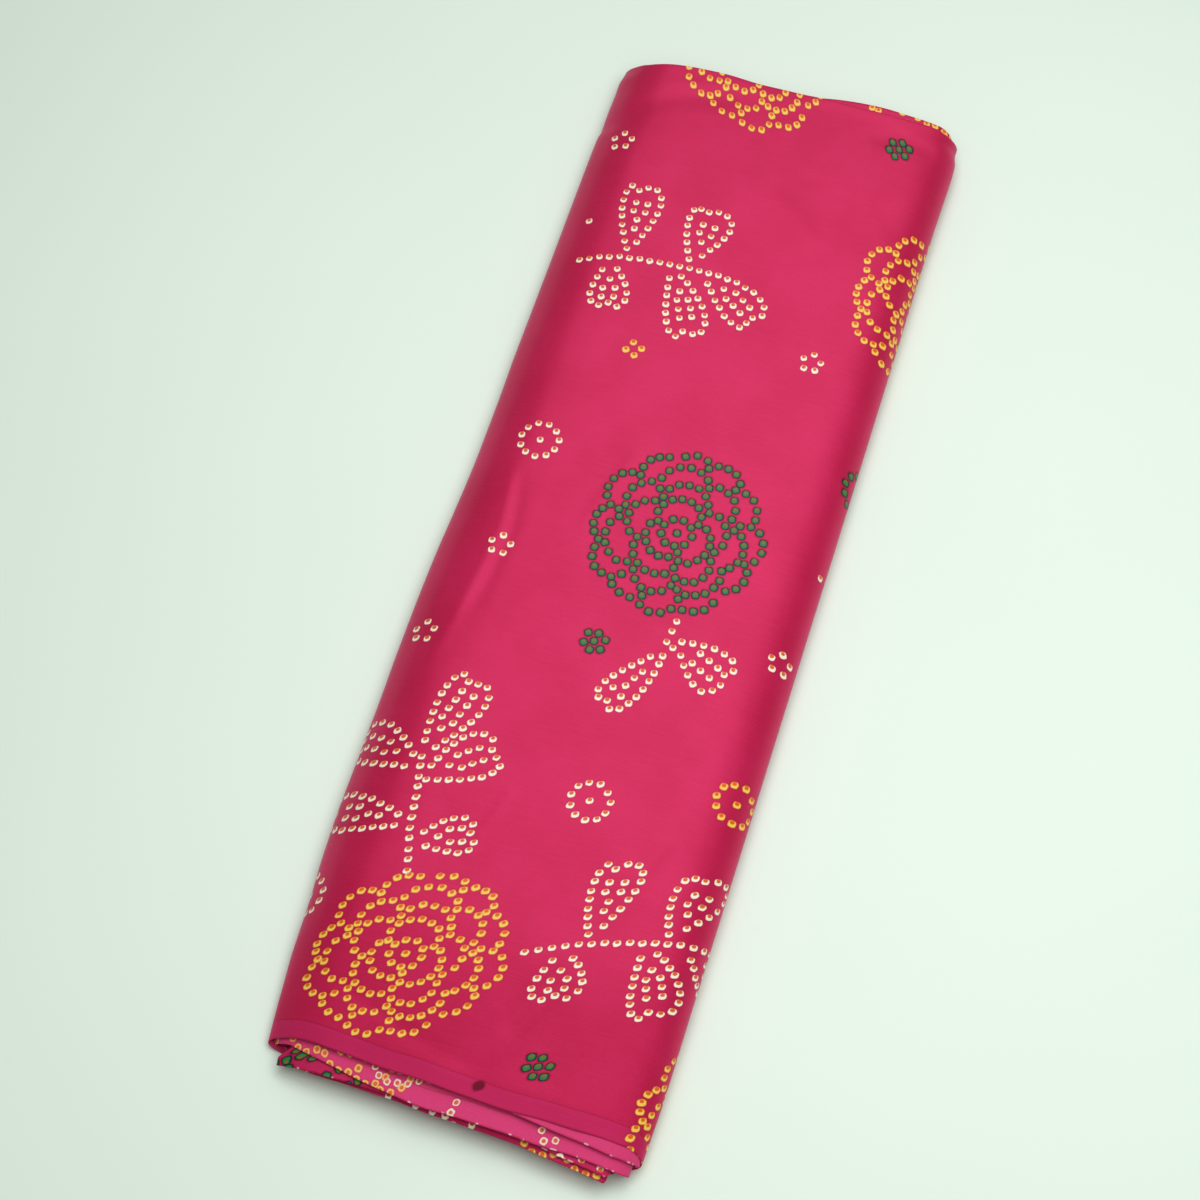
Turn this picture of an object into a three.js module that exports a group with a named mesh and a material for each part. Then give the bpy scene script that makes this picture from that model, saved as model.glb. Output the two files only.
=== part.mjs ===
import * as THREE from 'three';
import { mergeVertices } from 'three/addons/utils/BufferGeometryUtils.js';

// A cut length of printed satin as it lies folded. The cloth is folded in half, selvedge to selvedge, and the doubled
// cloth is then folded back and forth on itself, and its last two rounds go right around that stack.
// It is one solid: a flat sheet, bent around its folds. The half fold is at +Y and the two selvedges are at -Y.
// Millimetres, +Z up, resting on z = 0. X runs across the packet and Y along it.

const CLOTH_WIDTH = 1120; // selvedge to selvedge
const LENGTH = CLOTH_WIDTH / 2; // of the packet, which is half the cloth's width
const SHEET = 1.0; // thickness of one layer of cloth
const SLIT = 0.35; // air between the two halves
const GAP = 0.45; // air between one doubled run and the next
const BAND = 2 * SHEET + SLIT; // the doubled cloth
const PITCH = BAND + GAP; // height of one run above the last
const HALF_WIDTH = 92.1; // from the middle to each long side
const CROWN = 0.08; // how much the middle of the packet stands above its rims, as a share of the height
const RIM_DROP = 0.05; // how much the long rims sink, as a share of the height
const OVERHANG_FROM = -272; // beyond this the uneven selvedge ends droop
const OVERHANG_DROOP = 0.006; // share of the height lost for each millimetre beyond it
const START_X = -78.5; // the inner cut end of the cloth

// The runs of the doubled cloth, in the order in which the cloth goes through them, from its inner cut end outwards.
// level: how many pitches above the lowest run. to: where across the packet the run ends and the cloth turns.
// The ends stand out beyond the plain rectangle of the packet by as much as each row gives at the places ACROSS it.
// fold: the half fold at +Y. outer and inner: the selvedges of the two halves at -Y.
const ACROSS = [-80, -40, 0, 40, 80];
const RUNS = [
  { level: 6, to: 78.0, fold: [-2.0, 0.5, 1.0, -1.0, -1.5], outer: [7.5, 7.0, 7.0, 8.5, 11.0], inner: [9.0, 8.8, 8.6, 10.5, 14.5] },
  { level: 5, to: -76.5, fold: [1.5, -1.0, -2.5, -1.5, 0.5], outer: [8.5, 9.5, 10.5, 12.5, 16.5], inner: [4.0, 4.0, 5.0, 6.5, 7.0] },
  { level: 4, to: 80.0, fold: [-3.5, -2.0, 0.5, -0.5, -2.0], outer: [3.0, 2.0, 2.0, 4.0, 6.0], inner: [4.5, 6.0, 6.5, 9.0, 11.0] },
  { level: 3, to: -78.5, fold: [0.0, -2.0, -1.0, 1.0, 2.0], outer: [4.8, 5.0, 5.0, 8.0, 10.0], inner: [2.0, 4.0, 3.0, 2.0, 4.0] },
  { level: 2, to: 81.1, fold: [-1.5, 1.0, 2.0, 0.5, 0.0], outer: [1.0, 2.0, 3.5, 4.0, 5.0], inner: [2.5, 3.0, 1.5, 5.0, 8.0] },
  { level: 7, to: -79.7, fold: [-2.5, -1.5, 0.6, 6.0, 6.0], outer: [-3.0, -3.0, -3.5, -2.0, -1.0], inner: [0.2, 7.5, 10.0, 10.2, 11.5] },
  { level: 1, to: 81.1, fold: [-2.0, -1.5, -0.5, 0.5, 1.5], outer: [0.0, 2.0, 1.0, 3.0, 5.5], inner: [-1.0, 2.0, 4.0, 3.0, 3.0] },
  { level: 8, to: -79.7, fold: [-1.8, 0.6, 0.0, 1.0, 1.2], outer: [-1.7, -0.5, 0.7, 1.2, 0.2], inner: [-4.0, -3.5, -2.5, 3.0, 5.9] },
  { level: 0, to: 62, fold: [-1.0, 0.0, 1.0, -1.0, -2.0], outer: [0.5, 1.0, 0.0, 1.5, 2.5], inner: [-2.0, 0.0, 2.5, 1.0, 0.5] },
];

// The packet's soft shape at places along it, from the half fold to the selvedges.
// left and right: how far each long side lies from the middle. full: how full the packet is, as a share of the crown.
const PLACES = [
  { y: 290, left: 90.4, right: 90.0, full: 0.2 },
  { y: 262, left: 91.6, right: 92.6, full: 0.5 },
  { y: 215, left: 92.2, right: 92.3, full: 0.9 },
  { y: 135, left: 92.0, right: 92.2, full: 1.0 },
  { y: 50, left: 91.3, right: 92.2, full: 0.9 },
  { y: -40, left: 93.6, right: 92.1, full: 0.8 },
  { y: -130, left: 93.1, right: 92.1, full: 1.0 },
  { y: -190, left: 91.9, right: 92.0, full: 0.95 },
  { y: -232, left: 89.7, right: 92.0, full: 0.7 },
  { y: -272, left: 86.6, right: 91.6, full: 0.2 },
  { y: -293, left: 84.2, right: 90.6, full: 0.05 },
];

// How far the long sides are rounded off above, as a share of the height, by the distance from the middle.
const SHOULDERS = [
  { out: 52, left: 0, right: 0 },
  { out: 66, left: 0.026, right: 0.01 },
  { out: 75, left: 0.105, right: 0.045 },
  { out: 80, left: 0.19, right: 0.09 },
  { out: 86, left: 0.31, right: 0.17 },
  { out: 94, left: 0.43, right: 0.28 },
];

// How far the selvedge end sinks, as a share of the height, by the place across the packet: the cloth's free ends lie
// closer there than at its folds. They are drawn in by 0.49 mm for each millimetre that they sink.
const SUNK_FROM = -200;
const SUNK_TO = -284;
const DRAWN_IN = 0.49;
const SUNK = [
  { x: -90, share: 0.36 },
  { x: -60, share: 0.27 },
  { x: -20, share: 0.2 },
  { x: 30, share: 0.17 },
  { x: 90, share: 0.2 },
];

const RUN_STEPS = 4; // lengths that one run is cut into
const TIGHT_TURN_STEPS = 4; // facets of a turn between two neighbouring runs
const WIDE_TURN_STEPS = 7; // facets of a turn around the stack
const FOLD_STEPS = 4; // facets around the half fold

// A column of PLACES at a place between its rows.
function along(y, key) {
  let i = 1;
  while (i < PLACES.length - 1 && y < PLACES[i].y) i++;
  const [a, b] = [PLACES[i - 1], PLACES[i]];
  return a[key] + ((b[key] - a[key]) * (a.y - y)) / (a.y - b.y);
}

// A column of a table at a place between its rows. The table rises in the column named by, and is level beyond its ends.
function between(table, by, at, key) {
  let i = 1;
  while (i < table.length - 1 && at > table[i][by]) i++;
  const [a, b] = [table[i - 1], table[i]];
  const t = Math.max(0, Math.min(1, (at - a[by]) / (b[by] - a[by])));
  return a[key] + (b[key] - a[key]) * t;
}

// One row's ends at a place across the packet.
function across(values, x) {
  let i = 1;
  while (i < ACROSS.length - 1 && x > ACROSS[i]) i++;
  const t = Math.max(0, Math.min(1, (x - ACROSS[i - 1]) / (ACROSS[i] - ACROSS[i - 1])));
  return values[i - 1] + (values[i] - values[i - 1]) * t;
}

// The line that the doubled cloth follows across the packet: its place, the way its outer half faces, and its ends.
function foldLine() {
  const stations = [];
  const ends = (run, x) => ({ fold: across(run.fold, x), outer: across(run.outer, x), inner: across(run.inner, x) });
  const eased = (a, b, t) => a + (b - a) * t * t * (3 - 2 * t);
  let from = START_X;
  RUNS.forEach((run, i) => {
    const way = Math.sign(run.to - from);
    const z = run.level * PITCH + BAND / 2;
    for (let k = 0; k <= RUN_STEPS; k++) {
      const x = from + ((run.to - from) * k) / RUN_STEPS;
      stations.push({ x, z, nx: 0, nz: -way, ...ends(run, x) });
    }
    const next = RUNS[i + 1];
    if (next) {
      const rise = next.level - run.level;
      const radius = (Math.abs(rise) * PITCH) / 2;
      const middle = z + (rise * PITCH) / 2;
      const steps = Math.abs(rise) > 1 ? WIDE_TURN_STEPS : TIGHT_TURN_STEPS;
      const facing = way * Math.sign(rise); // 1 where the outer half lies outside the turn
      const a = ends(run, run.to);
      const b = ends(next, run.to);
      for (let k = 1; k < steps; k++) {
        const turned = (Math.PI * k) / steps;
        const c = way * Math.sin(turned);
        const s = -Math.sign(rise) * Math.cos(turned);
        stations.push({
          x: run.to + radius * c,
          z: middle + radius * s,
          nx: facing * c,
          nz: facing * s,
          fold: eased(a.fold, b.fold, k / steps),
          outer: eased(a.outer, b.outer, k / steps),
          inner: eased(a.inner, b.inner, k / steps),
        });
      }
    }
    from = run.to;
  });
  return stations;
}

// The lines that cross the sheet from one selvedge over the half fold to the other: which half each lies on, 1 for the
// outer and -1 for the inner, and its place along the packet, or how far it is turned around the half fold.
function crossLines() {
  const places = PLACES.slice(1, -1).map((row) => row.y);
  const lines = [{ half: 1, edge: true }];
  for (const y of [...places].reverse()) lines.push({ half: 1, y });
  for (let k = 0; k <= FOLD_STEPS; k++) lines.push({ half: k < FOLD_STEPS / 2 ? 1 : -1, turned: (Math.PI * k) / FOLD_STEPS });
  for (const y of places) lines.push({ half: -1, y });
  lines.push({ half: -1, edge: true });
  return lines;
}

// The soft shape of the whole packet, laid over the plain folds: fuller in the middle, its sides and corners drawn in.
function settle(x, y, z) {
  const t = Math.min(1, Math.abs(x) / HALF_WIDTH);
  const full = CROWN * along(y, 'full') * (1 - t * t) - RIM_DROP * t ** 6;
  const droop = OVERHANG_DROOP * Math.max(0, OVERHANG_FROM - y) + between(SHOULDERS, 'out', Math.abs(x), x < 0 ? 'left' : 'right');
  const high = z * (1 + full - droop);
  const s = Math.max(0, Math.min(1, (SUNK_FROM - y) / (SUNK_FROM - SUNK_TO)));
  const sunk = high * between(SUNK, 'x', x, 'share') * s * s * (3 - 2 * s);
  return [(x * along(y, x < 0 ? 'left' : 'right')) / HALF_WIDTH, y + DRAWN_IN * sunk, high - sunk];
}

// The flat sheet is a box cut into a grid, one cell for each line across and each station along, and is then bent.
function foldedCloth() {
  const stations = foldLine();
  const lines = crossLines();
  const wide = lines.length - 1;
  const long = stations.length - 1;
  const sheet = new THREE.BoxGeometry(wide, 1, long, wide, 1, long);
  const position = sheet.attributes.position;
  for (let i = 0; i < position.count; i++) {
    const line = lines[Math.round(position.getX(i) + wide / 2)];
    const station = stations[Math.round(position.getZ(i) + long / 2)];
    const off = position.getY(i) > 0 ? SLIT / 2 + SHEET : SLIT / 2; // the printed face looks outwards on both halves
    const axis = LENGTH / 2 - BAND / 2 + station.fold;
    let y = line.y;
    let side = line.half * off;
    if (line.edge) y = -LENGTH / 2 - (line.half > 0 ? station.outer : station.inner);
    if (line.turned !== undefined) {
      y = axis + off * Math.sin(line.turned);
      side = off * Math.cos(line.turned);
    }
    position.setXYZ(i, ...settle(station.x + station.nx * side, y, station.z + station.nz * side));
  }
  sheet.deleteAttribute('normal');
  sheet.deleteAttribute('uv');
  return facingOut(mergeVertices(sheet, 1e-4));
}

// Turns the faces over where they point into the solid.
function facingOut(geometry) {
  const index = geometry.index;
  const p = geometry.attributes.position;
  const [a, b, c] = [new THREE.Vector3(), new THREE.Vector3(), new THREE.Vector3()];
  let volume = 0;
  for (let i = 0; i < index.count; i += 3) {
    a.fromBufferAttribute(p, index.getX(i));
    b.fromBufferAttribute(p, index.getX(i + 1));
    c.fromBufferAttribute(p, index.getX(i + 2));
    volume += a.dot(b.cross(c));
  }
  if (volume < 0) {
    for (let i = 0; i < index.count; i += 3) {
      const first = index.getX(i);
      index.setX(i, index.getX(i + 2));
      index.setX(i + 2, first);
    }
  }
  geometry.computeVertexNormals();
  return geometry;
}

const cloth = new THREE.Mesh(
  foldedCloth(),
  new THREE.MeshStandardMaterial({ color: 0xcd2d5f, roughness: 0.45, metalness: 0, flatShading: true }),
);
cloth.name = 'folded_satin';

// The origin is the middle of the packet's underside.
cloth.geometry.computeBoundingBox();
const centre = cloth.geometry.boundingBox.getCenter(new THREE.Vector3());
cloth.position.set(-centre.x, -centre.y, 0);

const part = new THREE.Group();
part.add(cloth);

export default part;
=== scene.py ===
import math

import bpy
import numpy as np
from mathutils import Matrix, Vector
from mathutils.kdtree import KDTree


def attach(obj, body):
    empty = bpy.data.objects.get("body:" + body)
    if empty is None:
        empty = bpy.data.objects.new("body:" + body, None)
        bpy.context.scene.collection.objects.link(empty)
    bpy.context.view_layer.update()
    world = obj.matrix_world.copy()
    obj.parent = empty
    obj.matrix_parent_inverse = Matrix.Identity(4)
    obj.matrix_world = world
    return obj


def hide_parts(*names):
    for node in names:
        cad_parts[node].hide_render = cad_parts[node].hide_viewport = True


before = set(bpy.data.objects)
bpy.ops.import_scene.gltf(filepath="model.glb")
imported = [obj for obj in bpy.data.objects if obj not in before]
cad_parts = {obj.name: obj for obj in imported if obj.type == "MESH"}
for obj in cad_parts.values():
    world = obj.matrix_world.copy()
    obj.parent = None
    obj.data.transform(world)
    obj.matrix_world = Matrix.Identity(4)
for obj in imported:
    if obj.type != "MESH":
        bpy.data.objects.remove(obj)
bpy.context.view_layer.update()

# ---------------------------------------------------------------------------------------------------------------------
# Sizes, in millimetres. The folds are worked out around their own middle and then moved to the row's origin.
MM = 0.001
MOVE = (0.4805, 4.59, 0.0)

CLOTH_WIDTH = 1120.0  # selvedge to selvedge
LENGTH = CLOTH_WIDTH / 2  # of the packet
BAND = 2.35  # the doubled cloth
PITCH = 2.8  # height of one run above the last
APART = 0.675  # from the middle of the doubled cloth to the middle of each half
BULB = 0.95  # the same at the half fold, which is plump
BULB_LENGTH = 7.0
THICK = 0.4  # of the cloth
HALF_WIDTH = 92.1
CROWN = 0.08
RIM_DROP = 0.05
OVERHANG_FROM = -272.0
OVERHANG_DROOP = 0.006
START_X = -78.5
TOP_RUN = 7  # the run that is uppermost, by its place in RUNS
UNDER_RUN = 8  # the run that lies on the surface

ACROSS = [-80, -40, 0, 40, 80]
RUNS = [
    dict(level=6, to=78.0, fold=[-2.0, 0.5, 1.0, -1.0, -1.5], outer=[7.5, 7.0, 7.0, 8.5, 11.0], inner=[9.0, 8.8, 8.6, 10.5, 14.5]),
    dict(level=5, to=-76.5, fold=[1.5, -1.0, -2.5, -1.5, 0.5], outer=[8.5, 9.5, 10.5, 12.5, 16.5], inner=[4.0, 4.0, 5.0, 6.5, 7.0]),
    dict(level=4, to=80.0, fold=[-3.5, -2.0, 0.5, -0.5, -2.0], outer=[3.0, 2.0, 2.0, 4.0, 6.0], inner=[4.5, 6.0, 6.5, 9.0, 11.0]),
    dict(level=3, to=-78.5, fold=[0.0, -2.0, -1.0, 1.0, 2.0], outer=[4.8, 5.0, 5.0, 8.0, 10.0], inner=[2.0, 4.0, 3.0, 2.0, 4.0]),
    dict(level=2, to=81.1, fold=[-1.5, 1.0, 2.0, 0.5, 0.0], outer=[1.0, 2.0, 3.5, 4.0, 5.0], inner=[2.5, 3.0, 1.5, 5.0, 8.0]),
    dict(level=7, to=-79.7, fold=[-2.5, -1.5, 0.6, 6.0, 6.0], outer=[-3.0, -3.0, -3.5, -2.0, -1.0], inner=[0.2, 7.5, 10.0, 10.2, 11.5]),
    dict(level=1, to=81.1, fold=[-2.0, -1.5, -0.5, 0.5, 1.5], outer=[0.0, 2.0, 1.0, 3.0, 5.5], inner=[-1.0, 2.0, 4.0, 3.0, 3.0]),
    dict(level=8, to=-79.7, fold=[-1.8, 0.6, 0.0, 1.0, 1.2], outer=[-1.7, -0.5, 0.7, 1.2, 0.2], inner=[-4.0, -3.5, -2.5, 3.0, 5.9]),
    dict(level=0, to=62.0, fold=[-1.0, 0.0, 1.0, -1.0, -2.0], outer=[0.5, 1.0, 0.0, 1.5, 2.5], inner=[-2.0, 0.0, 2.5, 1.0, 0.5]),
]
RUN_STEPS = [26, 26, 26, 26, 26, 40, 40, 80, 34]
TURN_STEPS = [6, 6, 6, 6, 8, 8, 16, 18]

# The packet's soft shape at places along it: its two long sides, and how full it is.
SIDES = dict(
    y=[-293, -272, -252, -237, -213, -188, -162, -109, -82, -54, -26, 3, 33, 63, 93, 150, 188, 221, 232, 236, 249, 262, 269, 277, 281, 292],
    left=[84.2, 86.6, 88.2, 89.4, 90.2, 92.0, 92.9, 93.1, 93.6, 93.7, 93.3, 92.1, 91.3, 91.4, 91.9, 92.0, 92.2, 92.3, 92.2, 91.4, 91.7, 91.5, 91.7, 90.2, 89.9, 89.0],
    right=[90.6, 91.6, 91.9, 92.0, 92.0, 92.1, 92.1, 92.1, 92.1, 92.1, 92.1, 92.1, 92.2, 92.2, 92.2, 92.2, 92.2, 92.3, 92.4, 92.5, 92.8, 93.0, 92.8, 91.0, 90.9, 89.6],
)
FULL = dict(
    y=[-293, -272, -232, -190, -130, -40, 50, 135, 215, 262, 290],
    full=[0.05, 0.2, 0.7, 0.95, 1.0, 0.8, 0.9, 1.0, 0.9, 0.5, 0.2],
)

# How far the long sides are rounded off above, as a share of the height, by the distance from the middle.
SHOULDERS = dict(
    out=[0, 52, 60, 66, 70, 75, 80, 86, 94],
    left=[0, 0, 0.010, 0.026, 0.050, 0.105, 0.190, 0.310, 0.430],
    right=[0, 0, 0.004, 0.010, 0.020, 0.045, 0.090, 0.170, 0.280],
)
# How far the selvedge end sinks, as a share of the height: the cloth's free ends lie closer there than at its folds.
SUNK_FROM, SUNK_TO = -200.0, -284.0
SUNK = dict(x=[-90, -60, -20, 30, 90], share=[0.36, 0.27, 0.20, 0.17, 0.20])
DRAWN_IN = 0.49  # millimetres that the sunk ends are drawn in, for each that they sink

# Soft creases in the uppermost layer: their line over the packet, their height (a trough where negative) and width.
CREASES = [
    dict(line=[(-71, 32), (-65, 5), (-63, -12), (-65, -36), (-69, -60), (-76, -104)], high=0.45, wide=3.4),
    dict(line=[(-66, 24), (-59, -8), (-60, -36), (-64, -62)], high=-0.35, wide=4.0),
    dict(line=[(-12, 52), (-20, 24), (-28, -4)], high=0.32, wide=3.2),
    dict(line=[(-14, -136), (-20, -156), (-27, -178)], high=0.35, wide=3.0),
    dict(line=[(63, -134), (55, -154), (47, -170)], high=0.35, wide=3.0),
    dict(line=[(40, -206), (30, -228), (21, -248), (14, -270)], high=0.42, wide=3.0),
    dict(line=[(34, -210), (23, -232), (14, -252)], high=-0.3, wide=3.6),
    dict(line=[(-84, 236), (-70, 252), (-48, 262), (-20, 268)], high=-0.5, wide=6.0),
    dict(line=[(44, 262), (60, 268), (84, 266)], high=-0.5, wide=5.0),
    dict(line=[(-60, 268), (-30, 274), (20, 272)], high=0.3, wide=4.0),
    dict(line=[(70, 215), (66, 190), (70, 160)], high=0.28, wide=4.0),
    dict(line=[(6, 214), (24, 205), (41, 188)], high=0.26, wide=5.0),
    dict(line=[(-80, -246), (-55, -252), (-25, -262), (20, -271)], high=-0.3, wide=3.4),
    dict(line=[(-20, 130), (10, 118), (30, 96)], high=0.22, wide=6.0),
]

# ---------------------------------------------------------------------------------------------------------------------
# Camera, at the photograph's viewing angle.
camera_data = bpy.data.cameras.new("camera")
camera_data.lens = 80.0
camera_data.sensor_width = 36.0
camera_data.clip_start = 0.05
camera_data.clip_end = 20.0
camera = bpy.data.objects.new("camera", camera_data)
bpy.context.scene.collection.objects.link(camera)
bpy.context.scene.camera = camera
EYE = Vector((161.022 + MOVE[0], -567.628 + MOVE[1], 1159.504)) * MM
AIM = Vector((-8.6325 + MOVE[0], -27.5541 + MOVE[1], 12.0)) * MM
camera.location = EYE
camera.rotation_mode = "QUATERNION"
camera.rotation_quaternion = (AIM - EYE).to_track_quat("-Z", "Y")


# ---------------------------------------------------------------------------------------------------------------------
# Small helpers
def smooth(t):
    t = np.clip(t, 0, 1)
    return t * t * (3 - 2 * t)


def soft(xs, ys, x):
    """A smooth line through a short table, with no overshoot. xs rise."""
    xs, ys = np.asarray(xs, float), np.asarray(ys, float)
    x = np.clip(x, xs[0], xs[-1])
    d = np.diff(ys) / np.diff(xs)
    m = np.empty_like(ys)
    m[0], m[-1] = d[0], d[-1]
    total = d[:-1] + d[1:]
    m[1:-1] = np.where(d[:-1] * d[1:] > 0, 2 * d[:-1] * d[1:] / np.where(total == 0, 1, total), 0)
    i = np.clip(np.searchsorted(xs, x, side="right") - 1, 0, len(xs) - 2)
    h = xs[i + 1] - xs[i]
    t = (x - xs[i]) / h
    return (
        (1 + 2 * t) * (1 - t) ** 2 * ys[i] + t * (1 - t) ** 2 * h * m[i]
        + t * t * (3 - 2 * t) * ys[i + 1] + t * t * (t - 1) * h * m[i + 1]
    )


def from_line(x, y, line):
    """Distance of points from a line of a few corners, and how far along it they lie, from 0 to 1."""
    line = np.asarray(line, float)
    lengths = np.linalg.norm(np.diff(line, axis=0), axis=1)
    total, before = lengths.sum(), 0.0
    best, at = np.full(np.shape(x), 1e9), np.zeros(np.shape(x))
    for a, b, length in zip(line[:-1], line[1:], lengths):
        d = (b - a) / length
        t = np.clip((x - a[0]) * d[0] + (y - a[1]) * d[1], 0, length)
        away = np.hypot(x - a[0] - t * d[0], y - a[1] - t * d[1])
        near = away < best
        best, at = np.where(near, away, best), np.where(near, (before + t) / total, at)
        before += length
    return best, at


# ---------------------------------------------------------------------------------------------------------------------
# The folds: the line that the doubled cloth follows across the packet, one station after another.
def stations():
    rows, x0 = [], START_X

    def ends(run, x):
        return [float(soft(ACROSS, run[k], np.clip(x, -80, 80))) for k in ("fold", "outer", "inner")]

    for i, run in enumerate(RUNS):
        way = np.sign(run["to"] - x0)
        z = run["level"] * PITCH + BAND / 2
        for k in range(RUN_STEPS[i] + 1):
            x = x0 + (run["to"] - x0) * k / RUN_STEPS[i]
            rows.append([x, z, 0.0, -way, *ends(run, x), i, 0])
        if i + 1 < len(RUNS):
            after = RUNS[i + 1]
            rise = after["level"] - run["level"]
            radius, middle = abs(rise) * PITCH / 2, z + rise * PITCH / 2
            facing = way * np.sign(rise)
            a, b = ends(run, run["to"]), ends(after, run["to"])
            for k in range(1, TURN_STEPS[i]):
                turned = np.pi * k / TURN_STEPS[i]
                c, s = way * np.sin(turned), -np.sign(rise) * np.cos(turned)
                w = float(smooth(k / TURN_STEPS[i]))
                rows.append([run["to"] + radius * c, middle + radius * s, facing * c, facing * s, *[p + (q - p) * w for p, q in zip(a, b)], i, 1])
        x0 = run["to"]
    a = np.array(rows)
    st = {k: a[:, j] for j, k in enumerate(("x", "z", "nx", "nz", "fold", "outer", "inner"))}
    st["run"], st["turn"] = a[:, 7].astype(int), a[:, 8].astype(int)
    st["u"] = np.concatenate([[0], np.cumsum(np.hypot(np.diff(st["x"]), np.diff(st["z"])))])
    return st


ST = stations()
U_TOP = ST["u"][np.where((ST["run"] == TOP_RUN) & (ST["turn"] == 0))[0][0]]  # where the uppermost run begins, at the right
# The flat cloth is measured from the uppermost run: h to the right as it lies there, and v along the packet from -280.
ST["h"] = 81.1 - (ST["u"] - U_TOP)

# Lines from the outer selvedge over the half fold to the inner selvedge.
EDGE_ZONE, FOLD_ZONE = -262.0, 262.0
EDGE_AT = [0.0, 0.35, 0.9, 1.8, 3.2, 5.2, 7.8, 11.0, 14.5]  # of the 18 mm zone, from the selvedge
FOLD_AT = [14.0, 11.0, 8.5, 6.4, 4.7, 3.3, 2.1, 1.2, 0.4]  # of the 17 mm zone, from the half fold
MIDDLE_LINES = 200
FOLD_STEPS = 8
line_kind, line_at = [], []
for d in EDGE_AT:
    line_kind.append("outer edge"); line_at.append(d / 18)
for k in range(MIDDLE_LINES + 1):
    line_kind.append("outer"); line_at.append(EDGE_ZONE + (FOLD_ZONE - EDGE_ZONE) * k / MIDDLE_LINES)
for d in FOLD_AT:
    line_kind.append("outer fold"); line_at.append(1 - d / 17)
for k in range(FOLD_STEPS + 1):
    line_kind.append("arc"); line_at.append(np.pi * k / FOLD_STEPS)
for d in FOLD_AT[::-1]:
    line_kind.append("inner fold"); line_at.append(1 - d / 17)
for y in (262, 200, 120, 40, -40, -120, -200, -262):
    line_kind.append("inner"); line_at.append(float(y))
for d in EDGE_AT[::-1]:
    line_kind.append("inner edge"); line_at.append(d / 18)
line_kind, line_at = np.array(line_kind), np.array(line_at)
LINES = len(line_kind)
RIM = [45, 90, 135]  # the rounded selvedge, in degrees from the printed side
LOOP = 2 * LINES + 2 * len(RIM)


def settle(x, y, z):
    """The packet's soft shape, laid over the plain folds."""
    t = np.minimum(1, np.abs(x) / HALF_WIDTH)
    left, right = soft(SIDES["y"], SIDES["left"], y), soft(SIDES["y"], SIDES["right"], y)
    fullness = soft(FULL["y"], FULL["full"], y)
    full = CROWN * fullness * (1 - t * t) - RIM_DROP * t**6
    # slow waves over the whole packet
    full = full + 0.010 * np.sin(x / 31 + y / 57 + 0.6) * (1 - t**4) + 0.006 * np.sin(x / 17 - y / 34 + 2.1) * (1 - t**4)
    droop = OVERHANG_DROOP * np.maximum(0, OVERHANG_FROM - y)
    droop = droop + np.where(x < 0, soft(SHOULDERS["out"], SHOULDERS["left"], np.abs(x)), soft(SHOULDERS["out"], SHOULDERS["right"], np.abs(x)))
    high = z * (1 + full - droop)
    sunk = high * soft(SUNK["x"], SUNK["share"], x) * smooth((SUNK_FROM - y) / (SUNK_FROM - SUNK_TO))
    high = high - sunk
    # creases, which fade downwards through the layers
    deep = np.clip(z / 24.2, 0, 1.1) ** 6
    for crease in CREASES:
        away, at = from_line(x, y, crease["line"])
        fade = smooth(at / 0.18) * smooth((1 - at) / 0.18)
        high = high + crease["high"] * np.exp(-((away / crease["wide"]) ** 2)) * fade * deep
    return np.stack([x * np.where(x < 0, left, right) / HALF_WIDTH, y + DRAWN_IN * sunk, high], -1)


def ripple(k, x):
    return np.sin(x / 9.5 + 1.7 * k) + 0.5 * np.sin(x / 4.6 + 2.9 * k + 0.5)


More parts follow.
